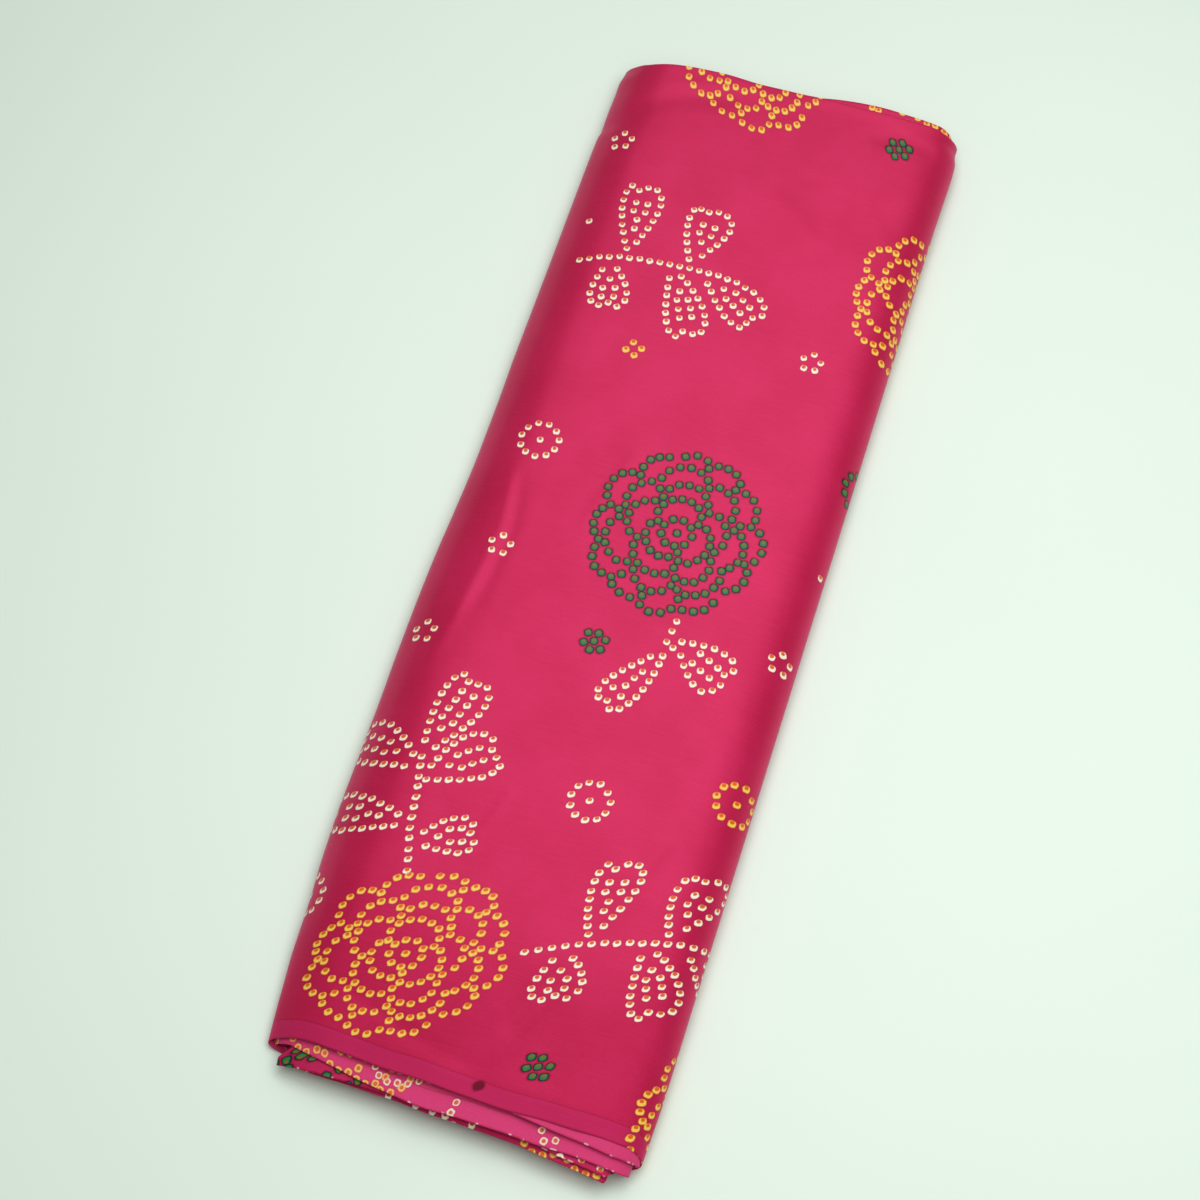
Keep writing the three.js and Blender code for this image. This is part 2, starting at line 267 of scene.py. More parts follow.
def sheet_points(side):
    """Places of every line at every station, for the printed side (1) or the wrong side (-1), then the rims."""
    s = {k: v[:, None] for k, v in ST.items()}
    layer = s["run"] * 1.0
    steady = smooth((86 - np.abs(s["x"])) / 8)  # the ripples die out where the cloth turns
    outer_edge = -LENGTH / 2 - s["outer"] - 0.28 * ripple(layer, s["x"]) * steady
    inner_edge = -LENGTH / 2 - s["inner"] - 0.28 * ripple(layer + 0.5, s["x"]) * steady
    axis = LENGTH / 2 - BAND / 2 + s["fold"] + 0.30 * ripple(layer + 0.25, s["x"]) * steady
    kind, at = line_kind[None, :], line_at[None, :]
    y = np.select(
        [kind == "outer edge", kind == "outer", kind == "outer fold", kind == "arc", kind == "inner fold", kind == "inner", kind == "inner edge"],
        [outer_edge + (EDGE_ZONE - outer_edge) * at, at + 0 * axis, FOLD_ZONE + (axis - FOLD_ZONE) * at, axis + 0 * at,
         FOLD_ZONE + (axis - FOLD_ZONE) * at, at + 0 * axis, inner_edge + (EDGE_ZONE - inner_edge) * at],
    )
    half = np.where(np.isin(kind, ["outer edge", "outer", "outer fold"]), 1.0, -1.0)
    plump = APART + (BULB - APART) * smooth((y - (axis - BULB_LENGTH)) / BULB_LENGTH)
    plump = plump - 0.3 * smooth((-255 - y) / 22)
    # the free ends of the layers lie a little unevenly
    loose = smooth((-264 - y) / 14) * steady
    lift = 0.2 * ripple(layer * 1.3 + np.where(half > 0, 0, 0.8), s["x"] + 0 * y) * loose
    off = plump + side * THICK / 2
    arc = kind == "arc"
    turned = np.where(arc, at, 0.0)
    across = np.where(arc, off * np.cos(turned), half * off)
    y = np.where(arc, axis + off * np.sin(turned), y)
    x, z = s["x"] + s["nx"] * across, s["z"] + s["nz"] * across + lift
    # the flat cloth, and the distance from the selvedge
    v_fold = axis + LENGTH / 2
    v = np.where(arc, v_fold + BULB * turned, np.where(half > 0, y + LENGTH / 2, v_fold + BULB * np.pi + axis - y))
    edge = np.where(half > 0, y - outer_edge, y - inner_edge)
    points, flat = [np.stack([x, y, z], -1)], [np.stack([s["h"] + 0 * v, v, edge], -1)]
    if side > 0:  # the rims, from the printed side to the wrong side
        for which, h in ((0, 1.0), (LINES - 1, -1.0)):
            edge_y = (outer_edge if h > 0 else inner_edge)[:, 0]
            rim, rim_flat = [], []
            for a in RIM:
                a = math.radians(a)
                r = h * (APART - 0.3 + THICK / 2 * math.cos(a))
                yy = edge_y - THICK / 2 * math.sin(a)
                rim.append(np.stack([ST["x"] + ST["nx"] * r, yy, ST["z"] + ST["nz"] * r + lift[:, which]], -1))
                rim_flat.append(np.stack([ST["h"], v[:, which], 0 * yy], -1))
            points.append(np.stack(rim, 1)); flat.append(np.stack(rim_flat, 1))
    return points, flat


(right_side, outer_rim, inner_rim), (right_flat, outer_rim_flat, inner_rim_flat) = sheet_points(1)
(wrong_side,), (wrong_flat,) = sheet_points(-1)
# One closed loop at each station: printed side, inner rim, wrong side backwards, outer rim backwards.
loop_points = np.concatenate([right_side, inner_rim, wrong_side[:, ::-1], outer_rim[:, ::-1]], 1)
loop_flat = np.concatenate([right_flat, inner_rim_flat, wrong_flat[:, ::-1], outer_rim_flat[:, ::-1]], 1)
loop_wrong = np.concatenate([np.zeros(LINES), np.array([0.2, 0.5, 0.8]), np.ones(LINES), np.array([0.8, 0.5, 0.2])])

# The loose corner of the cloth's inner end, which shows at the selvedges.
pull = smooth(1 - ST["u"] / 26)[:, None] * smooth((-281.5 - loop_points[..., 1]) / 3.5)
loop_points[..., 0] -= 5.6 * pull
loop_points[..., 1] -= 0.8 * pull

shaped = settle(loop_points[..., 0], loop_points[..., 1], loop_points[..., 2])
shaped = (shaped + np.array(MOVE)) * MM

# Which lines each station carries: all of them where the cloth shows, few where it lies inside.
outer_middle = np.where(line_kind == "outer")[0]
keep = dict(all=np.ones(LINES, bool), half=np.ones(LINES, bool), few=np.ones(LINES, bool))
keep["half"][outer_middle] = np.arange(len(outer_middle)) % 2 == 0
keep["few"][outer_middle] = np.arange(len(outer_middle)) % 20 == 0


def lines_at(i):
    run, turn = ST["run"][i], ST["turn"][i]
    if run == TOP_RUN or (run == TOP_RUN - 1 and turn):
        printed, wrong = keep["all"], keep["half"]
    elif run == UNDER_RUN:
        printed, wrong = keep["half"], keep["few"]
    else:
        printed, wrong = keep["few"], keep["few"]
    return np.concatenate([np.where(printed)[0], LINES + np.arange(len(RIM)),
                           LINES + len(RIM) + np.where(wrong[::-1])[0], 2 * LINES + len(RIM) + np.arange(len(RIM))])


def zipped(a, b):
    """Triangles between two rows of (place, vertex), from their first to their last."""
    out, i, j = [], 0, 0
    while i < len(a) - 1 or j < len(b) - 1:
        na = a[i + 1][0] if i < len(a) - 1 else 1e9
        nb = b[j + 1][0] if j < len(b) - 1 else 1e9
        if na == nb:
            out.append((a[i][1], b[j][1], b[j + 1][1])); out.append((a[i][1], b[j + 1][1], a[i + 1][1]))
            i, j = i + 1, j + 1
        elif na < nb:
            out.append((a[i][1], b[j][1], a[i + 1][1])); i += 1
        else:
            out.append((a[i][1], b[j][1], b[j + 1][1])); j += 1
    return out


count, rows = 0, []
vertex_station, vertex_loop = [], []
for i in range(len(ST["x"])):
    at = lines_at(i)
    rows.append([(int(k), count + n) for n, k in enumerate(at)])
    vertex_station += [i] * len(at); vertex_loop += list(at)
    count += len(at)
vertex_station, vertex_loop = np.array(vertex_station), np.array(vertex_loop)
points = shaped[vertex_station, vertex_loop]
flat = loop_flat[vertex_station, vertex_loop]
wrong = loop_wrong[vertex_loop]

triangles = []
for i in range(len(rows) - 1):
    triangles += zipped(rows[i] + [(LOOP, rows[i][0][1])], rows[i + 1] + [(LOOP, rows[i + 1][0][1])])
main_triangles = len(triangles)
# the two cut ends, each closed with a rounded edge
for i, out in ((0, -1.0), (len(rows) - 1, 1.0)):
    printed = [(k, n) for k, n in rows[i] if k < LINES]
    wrong_row = [(2 * LINES + len(RIM) - 1 - k, n) for k, n in rows[i] if LINES + len(RIM) <= k < 2 * LINES + len(RIM)][::-1]
    other = dict(wrong_row)
    rim_in = [n for k, n in rows[i] if LINES <= k < LINES + len(RIM)]
    rim_out = [n for k, n in rows[i] if k >= 2 * LINES + len(RIM)]
    way = out * np.sign(ST["x"][i] - ST["x"][i - 1 if i else 1]) * (1 if i else -1)
    tip = []
    for k, n in printed:
        w = shaped[i, 2 * LINES + len(RIM) - 1 - k]
        middle = (points[n] + w) / 2
        middle = middle + np.array([way * THICK / 2 * MM, 0, 0])
        tip.append((k, count))
        points = np.vstack([points, middle]); flat = np.vstack([flat, flat[n]]); wrong = np.append(wrong, 0.5)
        vertex_station = np.append(vertex_station, i); vertex_loop = np.append(vertex_loop, k)
        count += 1
    tips = [n for _, n in tip]
    new = zipped(printed, tip) + zipped(tip, wrong_row)
    # fans from the rims to the tip's two ends
    new += [(p, q, tips[-1]) for p, q in zip([printed[-1][1], *rim_in], [*rim_in, wrong_row[-1][1]])]
    new += [(p, q, tips[0]) for p, q in zip([wrong_row[0][1], *rim_out], [*rim_out, printed[0][1]])]
    triangles += new
triangles = np.array(triangles)

mesh = bpy.data.meshes.new("satin")
mesh.from_pydata(points.tolist(), [], triangles.tolist())
cloth = bpy.data.objects.new("satin_cloth", mesh)
bpy.context.scene.collection.objects.link(cloth)
import bmesh
bm = bmesh.new()
bm.from_mesh(mesh)
bmesh.ops.recalc_face_normals(bm, faces=bm.faces)
if bm.calc_volume(signed=True) < 0:
    bmesh.ops.reverse_faces(bm, faces=bm.faces)
bm.to_mesh(mesh)
bm.free()
mesh.polygons.foreach_set("use_smooth", np.ones(len(mesh.polygons), bool))
mesh.update()
print("satin_cloth", len(mesh.polygons), "triangles")

# ---------------------------------------------------------------------------------------------------------------------
# The print: flowers, sprays and rings of small tied-look dots. Places are in millimetres on the flat cloth.
WHITE, YELLOW, GREEN, MARK = 0, 1, 2, 3
DOT_PITCH = 5.05
DOT_CLEAR = 3.7  # the nearest that two dots of one motif may lie

# The rose, ring by ring from its heart: petals in the ring, how far out their middles lie, their half length outwards,
# their half width, the first one's angle, and how uneven they are. Petals further in cover those further out.
ROSE = [
    dict(count=1, away=0.0, out=7.4, wide=7.0, first=0, uneven=0),
    dict(count=3, away=7.6, out=8.8, wide=10.4, first=96, uneven=1.2),
    dict(count=5, away=15.6, out=9.4, wide=10.8, first=22, uneven=1.6),
    dict(count=7, away=23.6, out=9.6, wide=11.2, first=50, uneven=1.4),
    dict(count=12, away=31.6, out=9.6, wide=10.4, first=5, uneven=1.1),
]

# A leaf's outline, from its base round its tip and back: how far along it, and how far out to the left (positive) or
# right, as a share of that half's width. Its tip has a notch.
LEAF = [(0.06, 0.12), (0.22, 0.45), (0.45, 0.8), (0.68, 1.0), (0.88, 0.95), (1.0, 0.6), (0.93, 0.08),
        (1.0, -0.45), (0.9, -0.92), (0.7, -1.0), (0.45, -0.75), (0.22, -0.4), (0.06, -0.12)]
LEAF_INSIDE = 5.0  # the dots within a leaf keep this far from its outline

# Sprays: their stem, and their leaves from base to tip with the half widths left and right of that line.
SPRAY = dict(
    stem=[[(-38.7, -8), (-20, -2.5), (0, 0), (21.6, 1.5)]],
    leaves=[dict(base=(-16.1, 1.0), tip=(-21.3, 42.5), left=7.3, right=11.6), dict(base=(15.6, 4.5), tip=(15.6, 38.5), left=7.6, right=14.4),
            dict(base=(-23.6, -5), tip=(-18.4, -32.5), left=11, right=7.8), dict(base=(7.6, 0), tip=(23.9, -38.6), left=13, right=6.0),
            dict(base=(24, 1.5), tip=(54.6, -21.0), left=13, right=7.5)],
)
VINE = dict(  # its own origin is the foot of its stem
    stem=[[(0, 0), (-2.1, 9), (-4.6, 18.5), (-5.6, 23.5), (-7.1, 33.9), (-8.1, 39), (-10.6, 49.5), (-11.6, 55)]],
    leaves=[dict(base=(-11.6, 55), tip=(0, 99), left=9.3, right=11), dict(base=(-8.1, 44), tip=(22, 66), left=13.5, right=8),
            dict(base=(-2.1, 14), tip=(24, 24), left=10, right=7), dict(base=(-10.6, 49.5), tip=(-46, 57), left=7, right=14),
            dict(base=(-5.1, 22), tip=(-49, 22), left=9, right=9)],
)
PAIR = dict(  # two leaves that hang below a rose, from the top of their stem
    stem=[[(0, 0), (-1.6, -11.5)], [(0, 0), (2, -14)]],
    leaves=[dict(base=(-1.1, -16.5), tip=(-21.6, -50), left=9.3, right=6.5), dict(base=(3.5, -10), tip=(30.6, -21), left=9, right=13)],
)

# What lies where on the uppermost run. turn: the motif's own axes on the cloth, where the printing was pulled askew.
PULLED = ((1.053, 0.191), (0.266, 0.948))
TOP_PRINT = [
    dict(what="rose", ink=GREEN, at=(17.8, 11.0)),
    dict(what="rose", ink=YELLOW, at=(-37.5, -227.5), turn=((1.019, 0.275), (-0.01, 0.945))),
    dict(what="rose", ink=YELLOW, at=(-28.5, 299.5), turn=((1.0, -0.36), (-0.02, 1.12))),
    dict(what="rose", ink=YELLOW, at=(103.0, 175.0), turn=((0.97, 0), (0, 0.98))),
    dict(what="rose", ink=YELLOW, at=(-146.0, 60.0)),
    dict(what="spray", ink=WHITE, at=(-36.0, 156.0)),
    dict(what="spray", ink=WHITE, at=(56.0, -193.0), turn=PULLED),
    dict(what="vine", ink=WHITE, at=(-49.0, -190.0)),
    dict(what="pair", ink=WHITE, at=(31.4, -34.0)),
    dict(what="ring", ink=WHITE, at=(-61.6, 41.0)),
    dict(what="ring", ink=WHITE, at=(19.8, -133.5)),
    dict(what="ring", ink=YELLOW, at=(83.7, -113.0)),
    dict(what="ring", ink=WHITE, at=(-94.5, -209.0)),
    dict(what="ring", ink=GREEN, at=(97.0, 66.0)),
    dict(what="five", ink=WHITE, at=(-75.7, 225.5)),
    dict(what="five", ink=WHITE, at=(54.0, 122.5)),
    dict(what="five", ink=WHITE, at=(-60.6, -19.5)),
    dict(what="five", ink=WHITE, at=(-80.9, -71.5)),
    dict(what="five", ink=WHITE, at=(83.7, -38.5)),
    dict(what="four", ink=YELLOW, at=(-32.5, 103.5)),
    dict(what="one", ink=WHITE, at=(-77.2, 173.0)),
    dict(what="one", ink=WHITE, at=(89.8, 13.5)),
    dict(what="seven", ink=GREEN, at=(62.5, 261.0)),
    dict(what="seven", ink=GREEN, at=(-2.8, -55.5)),
    dict(what="seven", ink=GREEN, at=(35.4, -259.5)),
    dict(what="rose", ink=YELLOW, at=(125.5, -254.0), turn=((1.019, 0.275), (-0.01, 0.945))),
    dict(what="seven", ink=GREEN, at=(-93.0, 284.0)),
    dict(what="mark", ink=MARK, at=(13.0, -275.0)),
]
# What lies on the hidden runs where their ends show at the selvedges, by run, half, and place in the packet.
END_PRINT = [
    dict(what="rose", ink=YELLOW, run=5, half=-1, at=(-50.0, -259.0)),
    dict(what="vine", ink=WHITE, run=5, half=-1, at=(14.0, -246.0)),
    dict(what="four", ink=WHITE, run=5, half=-1, at=(50.0, -286.0)),
    dict(what="rose", ink=GREEN, run=0, half=-1, at=(-66.0, -256.0)),
    dict(what="ring", ink=WHITE, run=0, half=-1, at=(66.0, -291.0)),
    dict(what="spray", ink=WHITE, run=1, half=1, at=(-40.0, -284.0)),
    dict(what="rose", ink=YELLOW, run=1, half=1, at=(72.0, -262.0)),
]
REACH = dict(rose=43, spray=55, vine=62, pair=42, ring=12, five=8, four=7, one=3, seven=9, mark=4)
TILE = (240.0, 250.0)  # the whole print comes again this far on, and half a repeat higher
REPEAT = 500.0


def rng_uneven(i, size):
    """Small steady unevenness for dot number i, the same on each run."""
    return size * np.stack([np.sin(12.9898 * i + 1.3), np.sin(78.233 * i + 4.1)], -1)


def dots_along(line, margin=0.0, closed=False):
    line = np.asarray(line, float)
    d = np.concatenate([[0], np.cumsum(np.linalg.norm(np.diff(line, axis=0), axis=1))])
    if closed:
        n = max(3, int(round(d[-1] / DOT_PITCH)))
        at = np.arange(n) * d[-1] / n
    else:
        room = d[-1] - 2 * margin
        if room < -0.35 * DOT_PITCH:
            return np.zeros((0, 2))
        n = max(0, int(round(room / DOT_PITCH)))
        at = np.array([d[-1] / 2]) if n == 0 else margin + room * np.arange(n + 1) / n
    return np.stack([np.interp(at, d, line[:, k]) for k in (0, 1)], 1)


def add_clear(have, new, clear=DOT_CLEAR):
    for dot in new:
        if len(have) == 0 or np.linalg.norm(have - dot, axis=1).min() > clear:
            have = np.vstack([have, dot])
    return have


def open_runs(mask):
    """The runs of True around a closed line, as lists of places in order."""
    n = len(mask)
    if mask.all():
        return [list(range(n)) + [0]]
    start = int(np.argmin(mask))
    runs, now = [], []
    for k in range(1, n + 1):
        i = (start + k) % n
        if mask[i]:
            now.append(i)
        elif now:
            runs.append(now)
            now = []
    return runs + [now] if now else runs


def rose():
    dots, front = np.zeros((1, 2)), []
    turn = np.radians(np.arange(0, 360, 2.5))
    for ring, row in enumerate(ROSE):
        petals = []
        for k in range(row["count"]):
            a = np.radians(row["first"] + 360 * k / row["count"] + 3.5 * row["uneven"] * np.sin(5.1 * k + 2.3 * ring))
            away = row["away"] + row["uneven"] * np.sin(2.7 * k + 1.9 * ring)
            wide = row["wide"] * (1 + 0.05 * row["uneven"] * np.cos(3.3 * k + ring))
            o, t = np.array([np.cos(a), np.sin(a)]), np.array([-np.sin(a), np.cos(a)])
            petals.append(dict(mid=away * o, o=o, t=t, out=row["out"], wide=wide))
        for k, p in enumerate(petals):
            line = p["mid"] + p["out"] * np.cos(turn)[:, None] * p["o"] + p["wide"] * np.sin(turn)[:, None] * p["t"]
            hidden = np.zeros(len(line), bool)
            for q in front + petals[:k]:
                w = line - q["mid"]
                hidden |= (w @ q["o"] / q["out"]) ** 2 + (w @ q["t"] / q["wide"]) ** 2 < 1
            if ring == 0:
                dots = np.vstack([dots, dots_along(np.vstack([line, line[:1]]), closed=True)])
                continue
            for run in open_runs(~hidden):
                if len(run) >= 4:
                    dots = add_clear(dots, dots_along(line[run], 3.9), 3.35)
        front += petals
    return dots * (1.0, 1.055)


def rounded(corners, steps=8):
    """A smooth open line through a few corners."""
    p = np.asarray(corners, float)
    p = np.vstack([2 * p[0] - p[1], p, 2 * p[-1] - p[-2]])
    out = []
    for i in range(1, len(p) - 2):
        for t in np.arange(steps) / steps:
            out.append(0.5 * (2 * p[i] + (p[i + 1] - p[i - 1]) * t + (2 * p[i - 1] - 5 * p[i] + 4 * p[i + 1] - p[i + 2]) * t * t
                              + (3 * p[i] - p[i - 1] - 3 * p[i + 1] + p[i + 2]) * t**3))
    return np.array(out + [p[-2]])


def leafy(row):
    dots = np.zeros((0, 2))
    for stem in row["stem"]:
        dots = add_clear(dots, dots_along(rounded(stem) if len(stem) > 2 else stem))
    for leaf in row["leaves"]:
        base, tip = np.array(leaf["base"], float), np.array(leaf["tip"], float)
        along_it, left = tip - base, np.array([-(tip - base)[1], (tip - base)[0]]) / np.linalg.norm(tip - base)

        def place(t, s):
            return base + t * along_it + left * s * (leaf["left"] if s > 0 else leaf["right"])

        outline = rounded([place(t, s) for t, s in LEAF])
        dots = add_clear(dots, dots_along(outline))
        # one or two dots in each row across the leaf, as many as there is room for
        length = np.linalg.norm(along_it)
        for t in np.arange(0.24, 0.84, 5.3 / length):
            a = np.interp(t, [0, 0.22, 0.45, 0.68, 1], [0, 0.45, 0.8, 1, 1]) * leaf["left"] - LEAF_INSIDE
            b = np.interp(t, [0, 0.22, 0.45, 0.7, 1], [0, 0.4, 0.75, 1, 1]) * leaf["right"] - LEAF_INSIDE
            room, middle = a + b, (a - b) / 2
            if room < 0:
                continue
            spread = min(room, 6.2) / 2 if room > 5.6 else 0
            row_dots = [base + t * along_it + left * (middle + k * spread) for k in ((-1, 1) if spread else (0,))]
            dots = add_clear(dots, row_dots, 4.1)
    return dots


def around(count, radius, first, uneven=0.0, middle=True):
    k = np.arange(count)
    a = np.radians(first) + 2 * np.pi * k / count
    r = radius * (1 + uneven * np.sin(2.9 * k + 1))
    ring = np.stack([r * np.cos(a), r * np.sin(a)], 1)
    return np.vstack([ring, [[0, 0]]]) if middle else ring


MOTIFS = dict(
    rose=rose(), spray=leafy(SPRAY), vine=leafy(VINE), pair=leafy(PAIR), ring=around(11, 9.4, 12, 0.02),
    five=around(5, 4.8, 90, 0.04, middle=False), four=around(4, 3.8, 20, 0.05, middle=False), one=np.zeros((1, 2)),
    seven=around(6, 5.0, 20, 0.07), mark=np.zeros((1, 2)),
)


def printed(row, shift=(0.0, 0.0), number=0):
    turn = np.array(row.get("turn", ((1, 0), (0, 1))), float)
    dots = MOTIFS[row["what"]]
    dots = dots + rng_uneven(np.arange(len(dots)) + 7.0 * number, 0.22)
    return dots @ turn.T + np.array(row["at"]) + np.array([shift[0], shift[1] + LENGTH / 2]), row["ink"]


def flat_place(run, half, x, y):
    """Where a place in the packet lies on the flat cloth."""
    on_run = np.where((ST["run"] == run) & (ST["turn"] == 0))[0]
    i = on_run[np.argmin(np.abs(ST["x"][on_run] - x))]
    axis = LENGTH / 2 - BAND / 2 + ST["fold"][i]
    return ST["h"][i], (y + LENGTH / 2 if half > 0 else axis + LENGTH / 2 + BULB * math.pi + axis - y)


def whole_print():
    """Every dot on the cloth: its place and ink."""
    places, taken = [], []
    for n, row in enumerate(END_PRINT):
        h, v = flat_place(row["run"], row["half"], *row["at"])
        places.append(printed(dict(row, at=(h, v - LENGTH / 2)), number=n + 40))
        taken.append((h, v, REACH[row["what"]]))
    for n, row in enumerate(TOP_PRINT):
        places.append(printed(row, number=n))
        taken.append((row["at"][0], row["at"][1] + LENGTH / 2, REACH[row["what"]]))
    far_h = (ST["h"].min() - 5, ST["h"].max() + 5)
    for k in range(-3, 7):
        for m in range(-4, 5):
            shift = (TILE[0] * k, TILE[1] * k + REPEAT * m)
            if k == 0 and m == 0:
                continue
            for n, row in enumerate(TOP_PRINT):
                if row["what"] == "mark":
                    continue
                h, v, reach = row["at"][0] + shift[0], row["at"][1] + LENGTH / 2 + shift[1], REACH[row["what"]]
                if not (far_h[0] - reach < h < far_h[1] + reach and -reach < v < CLOTH_WIDTH + 20 + reach):
                    continue
                if -108 - reach < h < 108 + reach and -4 - reach < v < 574 + reach:
                    continue  # there, TOP_PRINT says what lies where
                if any(math.hypot(h - a, v - b) < 0.86 * (reach + r) for a, b, r in taken):
                    continue
                places.append(printed(row, shift, number=n + 31 * k + 57 * m))
                taken.append((h, v, reach))
    return places

# ---------------------------------------------------------------------------------------------------------------------
# What the cloth's shader reads: its place on the flat cloth, the nearest dots, and how far the printing was pulled.
def add_floats(name, kind, domain, values):
    attribute = mesh.attributes.new(name, kind, domain)
    attribute.data.foreach_set("vector" if kind == "FLOAT_VECTOR" else "value", np.ascontiguousarray(values, np.float32).ravel())


PULL = dict(  # the print's stretch along the cloth's width: h by h, h by v, v by v
    v=[0, 90, 170, 240, 460, 545, 580, 640],
    hh=[1.03, 1.03, 1.015, 1, 1, 1, 1, 1],
    hv=[0.18, 0.18, 0.10, 0, 0, -0.15, -0.15, 0],
    vv=[0.96, 0.96, 0.98, 1, 1, 1.15, 1.15, 1],
)
on_top = smooth((145 - np.abs(flat[:, 0])) / 20)
hh, hv, vv = [soft(PULL["v"], PULL[k], flat[:, 1]) for k in ("hh", "hv", "vv")]
hh, hv, vv = 1 + (hh - 1) * on_top, hv * on_top, 1 + (vv - 1) * on_top
det = hh * vv - hv * hv
add_floats("grain", "FLOAT_VECTOR", "POINT", np.stack([vv / det, -hv / det, hh / det], 1))
add_floats("flat", "FLOAT_VECTOR", "POINT", np.stack([flat[:, 0], flat[:, 1], 0 * flat[:, 0]], 1))
add_floats("edge", "FLOAT", "POINT", flat[:, 2])
add_floats("wrong", "FLOAT", "POINT", wrong)

dots, inks = [], []
for places, ink in whole_print():
    dots.append(places); inks += [ink] * len(places)
dots, inks = np.vstack(dots), np.array(inks, float)
jitter = np.mod(np.sin(np.arange(len(dots)) * 12.9898) * 43758.5453, 1.0)
codes = inks + 0.25 + 0.5 * jitter
tree = KDTree(len(dots))
for i, (h, v) in enumerate(dots):
    tree.insert((h, v, 0.0), i)
tree.balance()
corners = np.empty(len(mesh.polygons) * 3, np.int64)
mesh.polygons.foreach_get("vertices", corners)
corners = corners.reshape(-1, 3)
tri_flat = flat[corners][:, :, :2]
centres = tri_flat.mean(1)
NEAR = 9
near = np.array([[hit[1] for hit in tree.find_n((h, v, 0.0), NEAR)] for h, v in centres])
# of those, the four that lie nearest the triangle itself
away = np.full(near.shape, 1e9)
for k in range(3):
    a, b = tri_flat[:, k][:, None], tri_flat[:, (k + 1) % 3][:, None]
    d = b - a
    t = np.clip(((dots[near] - a) * d).sum(-1) / np.maximum((d * d).sum(-1), 1e-9), 0, 1)
    away = np.minimum(away, np.linalg.norm(dots[near] - a - t[..., None] * d, axis=-1))
side = []
for k in range(3):
    a, b = tri_flat[:, k][:, None], tri_flat[:, (k + 1) % 3][:, None]
    side.append((b - a)[..., 0] * (dots[near] - a)[..., 1] - (b - a)[..., 1] * (dots[near] - a)[..., 0])
inside = (np.min(side, 0) >= 0) | (np.max(side, 0) <= 0)
away = np.where(inside, 0, away)
best = np.take_along_axis(near, np.argsort(away, axis=1)[:, :4], axis=1)
for k in range(4):
    add_floats("dot%d" % (k + 1), "FLOAT_VECTOR", "FACE", np.stack([dots[best[:, k], 0], dots[best[:, k], 1], codes[best[:, k]]], 1))

# ---------------------------------------------------------------------------------------------------------------------
# A map for the finished textures: most of it for the cloth that shows, the rest for the ends and the inside.
chart_from = int(np.where((ST["run"] == TOP_RUN - 1) & (ST["turn"] == 1))[0][0]) - 1
half_fold_line = int(np.where(line_kind == "arc")[0][FOLD_STEPS // 2])
loop_at = np.zeros(LOOP + 1)
zone_step = {"outer": 0.05, "inner": 1.2, "outer edge": 3.4, "inner edge": 3.4, "outer fold": 2.6, "inner fold": 2.0, "arc": 2.0}
for k in range(1, LOOP + 1):
    if k < LINES:
        step = zone_step[line_kind[k]] * (0.8 if line_kind[k] != "outer" else 1)
    elif LINES + len(RIM) <= k < 2 * LINES + len(RIM):
        step = zone_step[line_kind[2 * LINES + len(RIM) - 1 - k]] * (0.8 if line_kind[2 * LINES + len(RIM) - 1 - k] != "outer" else 1)
    else:
        step = 0.8
    loop_at[k] = loop_at[k - 1] + step
loop_at = loop_at / loop_at[-1]
station_at = (ST["u"] / ST["u"][-1] * 0.5 + np.arange(len(ST["u"])) / (len(ST["u"]) - 1) * 0.5)
corner_loop, corner_station = vertex_loop[corners], vertex_station[corners]
wraps = (corner_loop.max(1) - corner_loop.min(1)) > LOOP // 2
at_across = loop_at[np.clip(corner_loop, 0, LOOP)]
at_across = np.where(wraps[:, None] & (corner_loop == 0), 1.0, at_across)
chart_a = (corner_station.min(1) >= chart_from) & (corner_loop.max(1) <= half_fold_line) & ~wraps
h_top, h_end = ST["h"][chart_from], ST["h"][-1]
uv_a = np.stack([(h_top - flat[corners][:, :, 0]) / (h_top - h_end) * 0.655 + 0.003, np.clip(flat[corners][:, :, 1], 0, 575) / 575 * 0.994 + 0.003], -1)
uv_b = np.stack([0.664 + 0.330 * at_across, 0.003 + 0.994 * station_at[corner_station]], -1)
uv = np.where(chart_a[:, None, None], uv_a, uv_b)
ends = np.arange(len(corners)) >= main_triangles  # the two cut ends have a strip of their own
uv_end = np.stack([0.9965 + 0.002 * wrong[corners], 0.003 + 0.48 * flat[corners][:, :, 1] / 1160 + 0.51 * (corner_station > 0)], -1)
uv = np.where(ends[:, None, None], uv_end, uv)
layer = mesh.uv_layers.new(name="OFBake")
layer.data.foreach_set("uv", np.ascontiguousarray(uv.reshape(-1, 2), np.float32).ravel())


